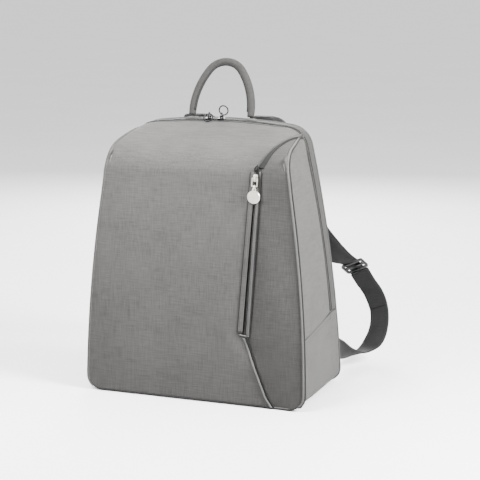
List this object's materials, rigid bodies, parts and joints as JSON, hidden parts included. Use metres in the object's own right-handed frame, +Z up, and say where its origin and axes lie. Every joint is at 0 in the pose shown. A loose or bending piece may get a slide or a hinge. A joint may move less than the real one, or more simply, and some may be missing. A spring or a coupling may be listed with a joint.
{
  "type": "diaper bag",
  "caption": "Backpack-style diaper bag with a zipped front that folds open, a slanted front zip pocket, a rolled carry handle and padded shoulder straps.",
  "frame": {"origin": "middle of the base, on the surface that the bag stands on", "axes": "+Z up, the front faces -Y, +X to the right as seen from the front"},
  "size_m": [0.355, 0.2936, 0.4289],
  "materials": {
    "outer_cloth": "heathered grey woven polyester, matt",
    "lining_cloth": "plain smooth lining",
    "foam": "soft closed-cell foam",
    "board": "stiff board",
    "zip_tape": "fine woven zip tape",
    "zip_coil": "nylon coil",
    "dark_metal": "gunmetal",
    "bright_metal": "polished nickel",
    "piping": "folded cloth piping",
    "elastic": "ribbed elastic",
    "strap_cloth": "charcoal woven cloth over foam",
    "webbing": "charcoal woven webbing",
    "buckle": "black moulded acetal"
  },
  "bodies": {
    "bag_body": {"back_panel": "outer_cloth", "back_foam": "foam", "back_lining": "lining_cloth", "rear_gusset": "outer_cloth", "gusset_lining": "lining_cloth", "lower_lining": "lining_cloth", "base_board": "board", "organiser_pocket": "lining_cloth", "organiser_elastic": "elastic", "main_zip_tape_rear": "zip_tape", "main_zip_coil_rear": "zip_coil", "zip_end_tabs": "outer_cloth", "lower_main_panel": "outer_cloth", "lower_pocket_panel": "outer_cloth", "side_pocket_left": "outer_cloth", "side_pocket_right": "outer_cloth", "lower_side_left": "outer_cloth", "lower_side_right": "outer_cloth", "base_panel": "outer_cloth", "bottom_piping": "piping", "handle_patches": "outer_cloth", "strap_anchor_left": "strap_cloth", "strap_anchor_right": "strap_cloth", "strap_tab_left": "webbing", "strap_tab_right": "webbing"},
    "opening_front": {"front_main_panel": "outer_cloth", "front_pocket_panel": "outer_cloth", "side_panel_left": "outer_cloth", "side_panel_right": "outer_cloth", "front_lining": "lining_cloth", "main_zip_tape_front": "zip_tape", "main_zip_coil_front": "zip_coil", "front_piping_left": "piping", "front_piping_right": "piping", "pocket_zip_tape_left": "zip_tape", "pocket_zip_tape_right": "zip_tape", "pocket_zip_coil": "zip_coil", "pocket_zip_stops": "zip_coil", "pocket_welt": "piping", "pocket_pouch": "lining_cloth"},
    "main_slider_left": {"main_zip_slider_left": "dark_metal"},
    "main_slider_right": {"main_zip_slider_right": "dark_metal"},
    "main_ring_left": {"main_zip_ring_left": "dark_metal"},
    "main_ring_right": {"main_zip_ring_right": "dark_metal"},
    "main_pull_left": {"main_zip_pull_left": "dark_metal"},
    "main_pull_right": {"main_zip_pull_right": "dark_metal"},
    "pocket_slider": {"pocket_zip_slider": "bright_metal"},
    "pocket_link": {"pocket_pull_link": "bright_metal"},
    "pocket_ring": {"pocket_pull_ring": "bright_metal"},
    "pocket_disc": {"pocket_pull_disc": "bright_metal"},
    "handle": {"carry_handle": "outer_cloth"},
    "strap_left": {"shoulder_strap_left": "strap_cloth", "strap_buckle_left": "buckle", "strap_webbing_left": "webbing", "strap_tail_left": "webbing"},
    "strap_right": {"shoulder_strap_right": "strap_cloth", "strap_buckle_right": "buckle", "strap_webbing_right": "webbing", "strap_tail_right": "webbing"}
  },
  "joints": [
    {"name": "front_opens", "type": "hinge", "parent": "bag_body", "child": "opening_front", "pos_m": [0, -0.07619, 0.088], "axis": [1, 0, 0], "range_deg": [0, 22]},
    {"name": "main_zip_right_travel", "type": "hinge", "parent": "bag_body", "child": "main_slider_right", "pos_m": [0, 0.11051, -0.41163], "axis": [0, 0.9917, 0.1289], "range_deg": [0, 6.06]},
    {"name": "main_zip_left_travel", "type": "hinge", "parent": "bag_body", "child": "main_slider_left", "pos_m": [0, 0.11051, -0.41163], "axis": [0, -0.9917, -0.1289], "range_deg": [0, 5.39]},
    {"name": "main_ring_right_swing", "type": "hinge", "parent": "main_slider_right", "child": "main_ring_right", "pos_m": [0.00402, 0.01086, 0.35496], "axis": [0, 0.9917, 0.1289], "range_deg": [-25, 2]},
    {"name": "main_pull_right_swing", "type": "hinge", "parent": "main_ring_right", "child": "main_pull_right", "pos_m": [0.00404, 0.01043, 0.35823], "axis": [1, 0.0007, -0.0052], "range_deg": [-75, 75]},
    {"name": "main_ring_left_swing", "type": "hinge", "parent": "main_slider_left", "child": "main_ring_left", "pos_m": [-0.01307, 0.01087, 0.35486], "axis": [0, 0.9917, 0.1289], "range_deg": [-15, 15]},
    {"name": "main_pull_left_swing", "type": "hinge", "parent": "main_ring_left", "child": "main_pull_left", "pos_m": [-0.01312, 0.01044, 0.35813], "axis": [0.9999, -0.0022, 0.0168], "range_deg": [-180, 3]},
    {"name": "pocket_zip_travel", "type": "slide", "parent": "opening_front", "child": "pocket_slider", "axis": [-0.0607, -0.0318, -0.9976], "range_m": [0, 0.184]},
    {"name": "pocket_link_swing", "type": "hinge", "parent": "pocket_slider", "child": "pocket_link", "pos_m": [0.08105, -0.07306, 0.28962], "axis": [-0.9982, 0.0019, 0.0607], "range_deg": [0, 120]},
    {"name": "pocket_ring_swing", "type": "hinge", "parent": "pocket_link", "child": "pocket_ring", "pos_m": [0.08044, -0.07338, 0.27965], "axis": [-0.9982, 0.0019, 0.0607], "range_deg": [0, 60]},
    {"name": "pocket_disc_swing", "type": "hinge", "parent": "pocket_ring", "child": "pocket_disc", "pos_m": [0.08018, -0.07351, 0.27546], "axis": [-0.9982, 0.0019, 0.0607], "range_deg": [0, 35]},
    {"name": "carry_handle_folds", "type": "hinge", "parent": "bag_body", "child": "handle", "pos_m": [0, 0.0205, 0.35853], "axis": [1, 0, 0], "range_deg": [-50, 75], "stiffness_Nm_per_rad": 0.05},
    {"name": "shoulder_strap_left_swing", "type": "hinge", "parent": "bag_body", "child": "strap_left", "pos_m": [-0.046, 0.043, 0.346], "axis": [0.2873, -0.1477, 0.9464], "range_deg": [-10, 10]},
    {"name": "shoulder_strap_right_swing", "type": "hinge", "parent": "bag_body", "child": "strap_right", "pos_m": [0.046, 0.043, 0.346], "axis": [-0.2873, -0.1477, 0.9464], "range_deg": [-10, 10]}
  ],
  "couplings": [
    {"joint": "main_zip_right_travel", "follows": "front_opens", "ratio": 0.2749},
    {"joint": "main_zip_left_travel", "follows": "front_opens", "ratio": 0.24441}
  ]
}
